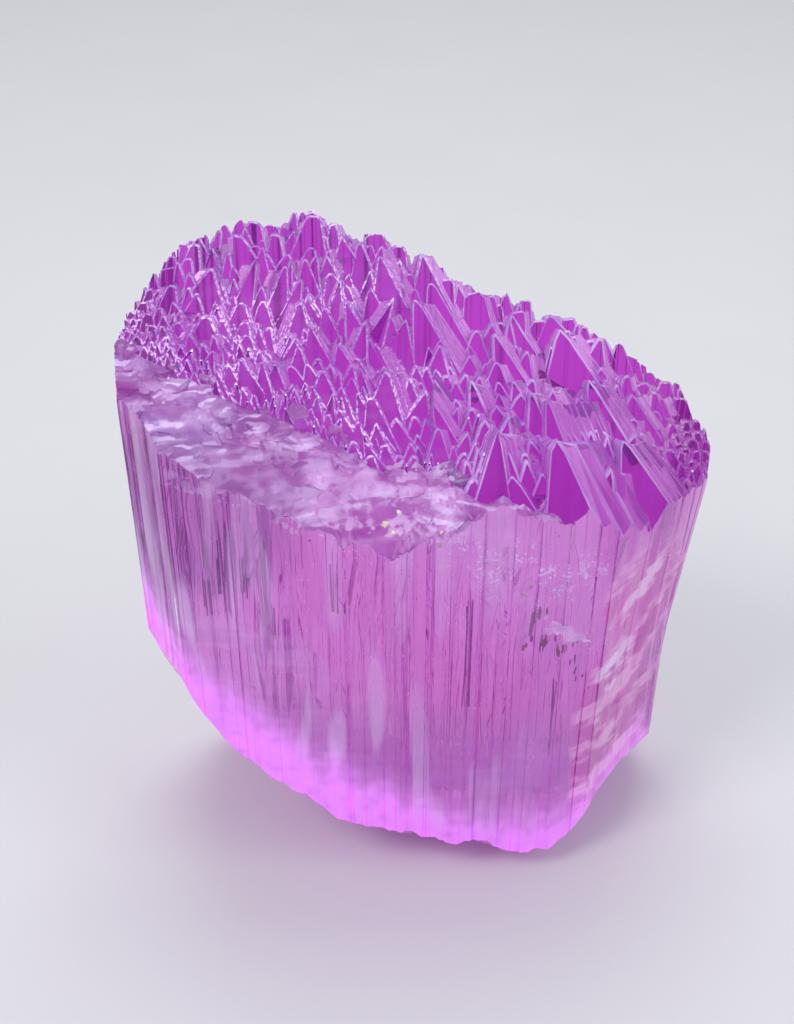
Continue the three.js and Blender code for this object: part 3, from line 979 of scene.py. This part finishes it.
def joined(parts, name):
    # one mesh from many small bmeshes
    whole = bmesh.new()
    for part in parts:
        mesh = bpy.data.meshes.new("part")
        part.to_mesh(mesh)
        part.free()
        whole.from_mesh(mesh)
        bpy.data.meshes.remove(mesh)
    toMetres(whole)
    piece = linked(meshFrom(whole, name), name)
    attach(piece, "root")
    return piece


# lacy healed cracks: corner, first and second side, cells, bulge, how much is left of the sheet, and seed
veils = {
    "feather": ((8.4, -8.0, 20.9), (2.9, 0.9, -2.6), (0.2, 0.5, -1.2), (90, 30), 0.15, 0.5, 3.0),
    "splinter": ((10.6, -6.9, 24.2), (1.8, 0.4, -1.6), (0.3, 0.5, -0.9), (70, 30), 0.15, 0.5, 4.0),
    "bandLow": ((-12.6, -6.6, 29.0), (10.0, -1.0, -4.0), (0.6, 3.6, 2.2), (180, 80), 0.35, 0.42, 5.0),
    "bandMid": ((-5.5, -7.5, 26.6), (9.0, 0.0, -1.4), (0.4, 3.2, 1.9), (160, 70), 0.3, 0.45, 6.0),
}
veilThickness = 0.012


def veilSheet(corner, first, second, cells, bulge, left, seed):
    bm = bmesh.new()
    bmesh.ops.create_grid(bm, x_segments=cells[0], y_segments=cells[1], size=0.5)
    points = pointsOf(bm.verts) + (0.5, 0.5, 0)
    across = np.outer(points[:, 0], first) + np.outer(points[:, 1], second) + corner
    normal = np.cross(first, second) / np.linalg.norm(np.cross(first, second))
    hollow = np.sin(points[:, 0] * math.pi) * np.sin(points[:, 1] * math.pi) * bulge
    across += normal * (hollow + 0.22 * noiseAt(across, 0.5, 3, seed))[:, None]
    movePoints(bm.verts, across)
    middles = np.array([f.calc_center_median()[:] for f in bm.faces])
    edge = np.array([min(u, 1 - u, v, 1 - v) for u, v in
                     ((c % cells[0] / cells[0], c // cells[0] / cells[1]) for c in range(len(bm.faces)))])
    lace = noiseAt(middles, 0.55, 2, seed) * 0.6 + noiseAt(middles, 2.4, 4, seed + 3) * 0.5
    limit = np.quantile(lace, 1 - left) + 0.9 * np.clip(0.18 - edge, 0, 1)
    bm.faces.ensure_lookup_table()
    bmesh.ops.delete(bm, geom=[f for f, l, m in zip(bm.faces, lace, limit) if l < m], context="FACES")
    bmesh.ops.solidify(bm, geom=bm.faces[:], thickness=veilThickness)
    return bm


def needle(rng, start, length, radius):
    bm = bmesh.new()
    bmesh.ops.create_cone(bm, cap_ends=True, segments=5, radius1=radius, radius2=radius * rng.uniform(0.4, 1),
                          depth=length)
    tilt = Matrix.Rotation(math.radians(rng.gauss(0, 0.8)), 4, "Y")
    x, y, z = start
    bmesh.ops.transform(bm, matrix=Matrix.Translation((x, y, z + length / 2)) @ tilt, verts=bm.verts)
    return bm


def crumb(rng, place, size, stretch=(1, 1, 1)):
    bm = bmesh.new()
    bmesh.ops.create_icosphere(bm, subdivisions=1, radius=size)
    for v in bm.verts:
        v.co = v.co * rng.uniform(0.7, 1.2) * Vector(stretch) + Vector(place)
    return bm


# place and length of the dark growth tubes, place and size of the brown stains and yellow crumbs
inside = {
    "darkTubes": [(-10.6, -6.9, 23.5, 3.6), (-9.9, -6.8, 21.6, 4.4), (-9.2, -7.0, 20.0, 6.2),
                  (-8.6, -7.1, 21.4, 4.6), (-8.2, -6.9, 20.6, 3.4), (-7.3, -7.2, 17.5, 8.3),
                  (-6.9, -7.3, 18.3, 3.1), (-10.9, -6.6, 19.8, 3.0), (-8.9, -6.6, 23.8, 2.9),
                  (-3.6, -7.2, 20.4, 5.2), (4.0, -7.4, 13.2, 8.8), (9.2, -7.2, 9.5, 6.5)],
    "brown": [(7.9, -7.6, 20.2, 0.5), (8.5, -7.6, 19.0, 0.4), (9.4, -7.5, 18.2, 0.45),
              (10.2, -7.2, 18.9, 0.3), (7.4, -7.7, 18.6, 0.3), (11.0, -6.8, 15.4, 0.25),
              (10.4, -7.1, 17.0, 0.3), (6.8, -7.7, 20.4, 0.2)],
    "yellow": [(-0.6, -8.25, 27.2, 0.2), (0.1, -8.2, 27.9, 0.14), (2.3, -8.25, 25.9, 0.2),
               (7.1, -7.9, 22.3, 0.18), (7.4, -7.9, 22.9, 0.14), (2.4, -8.2, 26.6, 0.12),
               (-0.2, -8.2, 26.6, 0.13), (5.0, -7.9, 24.5, 0.1)],
    "tubesEach": 3,  # tubes at each place
    "stainsEach": 4,
    "stainStretch": (0.45, 0.3, 1.9),
    "needles": 130,
    "specks": 260,
    "seed": 31,
}


def buildInside():
    rng = random.Random(inside["seed"])
    sheets = [veilSheet(*spec) for spec in veils.values()]
    for _ in range(inside["specks"]):
        place = (rng.gauss(-3, 6), rng.uniform(-7.4, -3), rng.uniform(8, 26))
        if abs(place[0]) < 12 and place[2] > 12 - place[0] * 0.8:
            sheets.append(crumb(rng, place, rng.uniform(0.02, 0.06)))
    made = {"veils": joined(sheets, "veils")}
    dark = []
    for x, y, z, length in inside["darkTubes"]:
        for _ in range(inside["tubesEach"]):
            start = (x + rng.gauss(0, 0.09), y + rng.uniform(0, 0.5), z + rng.uniform(0, 0.8))
            dark.append(needle(rng, start, length * rng.uniform(0.5, 1), rng.uniform(0.03, 0.085)))
    made["tubes"] = joined(dark, "tubes")
    stains = []
    for x, y, z, size in inside["brown"]:
        for _ in range(inside["stainsEach"]):
            spread = (x + rng.gauss(0, 0.3), y + rng.uniform(-0.1, 0.2), z + rng.gauss(0, 0.4))
            stains.append(crumb(rng, spread, size * rng.uniform(0.3, 0.8), inside["stainStretch"]))
    made["stains"] = joined(stains, "stains")
    pale = []
    for _ in range(inside["needles"]):
        x = rng.uniform(-12, 12)
        low = max(4.0, 9.5 - x) if x < 3 else 7.0  # above the break
        pale.append(needle(rng, (x, rng.uniform(-7.0, 3), rng.uniform(low, 16)), rng.uniform(2, 8),
                           rng.uniform(0.012, 0.03)))
    made["needles"] = joined(pale, "needles")
    made["crumbs"] = joined([crumb(rng, place, size) for *place, size in inside["yellow"]], "crumbs")
    return made


# the darkest and palest colour, roughness and painted glow of each
innerFinish = {
    "veils": ((0.80, 0.62, 0.88, 1), (0.98, 0.90, 1.0, 1), 0.25, 0.45),
    "tubes": ((0.36, 0.05, 0.40, 1), (0.50, 0.11, 0.52, 1), 0.3, 0.14),
    "stains": ((0.24, 0.03, 0.16, 1), (0.42, 0.09, 0.28, 1), 0.4, 0.08),
    "needles": ((0.85, 0.6, 0.9, 1), (1.0, 0.85, 0.95, 1), 0.2, 0.2),
    "crumbs": ((0.70, 0.56, 0.40, 1), (0.86, 0.78, 0.60, 1), 0.45, 0.05),
}
innerGrain = (1500.0, 3.0)  # scale and detail


def innerMaterial(name):
    one, two, roughness, paintedGlow = innerFinish[name]
    board = Board(name)
    grain = board.noise(board.add("TexCoord", output="Object"), *innerGrain)
    # painted glow: the inside pieces give off light in their darkest colour, though no lamp is there
    shader = board.add("BsdfPrincipled", inputs={
        "Base Color": board.mixColour(grain.ramp(0.4, 0.6), one, two), "Roughness": roughness + grain * 0.1,
        "Emission Color": one, "Emission Strength": paintedGlow})
    board.add("OutputMaterial", inputs={"Surface": shader})
    return board.material


for name, piece in buildInside().items():
    dress(piece, innerMaterial(name))
    print(name + ":", len(piece.data.polygons), "faces")


floorFinish = {
    "size": 4.0,
    "under": 0.00005,  # gap below the crystal, so that the two don't share a plane
    "near": ((0.64, 0.64, 0.66, 1), (0.68, 0.68, 0.70, 1)),
    # painted light: the far floor is lighter, to even out the light falling off
    "far": (0.97, 0.97, 0.97, 1),
    "fade": (0.12, 0.6),  # metres from the crystal
    "grain": (40.0, 3.0),
    "roughness": 0.6,
}


def buildFloor():
    bm = bmesh.new()
    bmesh.ops.create_grid(bm, x_segments=2, y_segments=2, size=floorFinish["size"])
    bmesh.ops.translate(bm, verts=bm.verts, vec=(0, 0, -floorFinish["under"]))
    floor = linked(meshFrom(bm, "floor"), "floor")
    board = Board("paleFloor")
    place = board.add("TexCoord", output="Object")
    shade = board.mixColour(board.noise(place, *floorFinish["grain"]), *floorFinish["near"])
    distance = board.add("VectorMath", {"operation": "LENGTH"}, {0: place}, output="Value")
    # painted light: the floor turns lighter away from the crystal, so that it fades into the sky
    shade = board.mixColour(distance.ramp(*floorFinish["fade"]), shade, floorFinish["far"])
    shader = board.add("BsdfPrincipled", inputs={"Base Color": shade, "Roughness": floorFinish["roughness"]})
    board.add("OutputMaterial", inputs={"Surface": shader})
    dress(floor, board.material)


view = {
    "target": (*axisPlace, 22.6),  # millimetres
    "elevation": 33.0,
    "distance": 78.0,
    "lens": 45.0,
    "clip": (0.001, 10.0),  # metres
}


def aimed(place, target):
    way = Vector(target) - Vector(place)
    return way.to_track_quat("-Z", "Y").to_euler()


def addCamera():
    camera = bpy.data.objects.new("camera", bpy.data.cameras.new("camera"))
    bpy.context.scene.collection.objects.link(camera)
    up = math.radians(view["elevation"])
    target = Vector(view["target"]) * mm
    camera.location = target + Vector((0, -math.cos(up), math.sin(up))) * view["distance"] * mm
    camera.rotation_euler = aimed(camera.location, target)
    camera.data.lens, camera.data.sensor_width = view["lens"], 36.0
    camera.data.clip_start, camera.data.clip_end = view["clip"]
    bpy.context.scene.camera = camera


# place and target in metres, size, power and colour
lights = {
    "key": ((-0.2, -0.16, 0.32), (0, 0, 0.02), (0.12, 0.12), 0.5, (1, 0.98, 0.96)),
    "fill": ((0.28, -0.12, 0.24), (0, 0, 0.02), (0.2, 0.2), 0.32, (0.95, 0.97, 1)),
    "top": ((0.0, 0.13, 0.34), (0, 0.01, 0.02), (0.24, 0.2), 0.5, (1, 1, 1)),
}
sky = {"Color": (0.9, 0.93, 1.0, 1), "Strength": 0.55}


def addLights():
    for name, (place, target, size, power, colour) in lights.items():
        lamp = bpy.data.lights.new(name, "AREA")
        lamp.shape, lamp.energy, lamp.color = "RECTANGLE", power, colour
        lamp.size, lamp.size_y = size
        thing = bpy.data.objects.new(name, lamp)
        thing.location, thing.rotation_euler = place, aimed(place, target)
        bpy.context.scene.collection.objects.link(thing)
    world = bpy.data.worlds.new("world")
    bpy.context.scene.world = world
    world.use_nodes = True
    for name, value in sky.items():
        world.node_tree.nodes["Background"].inputs[name].default_value = value


buildFloor()
addCamera()
addLights()
print("floor, camera and lights are in place")

paths = bpy.context.scene.cycles
paths.transmission_bounces, paths.max_bounces = 10, 12  # enough to look through the hillocks
paths.use_light_tree = False  # three lights don't need it
bpy.context.scene.view_settings.view_transform = "Standard"
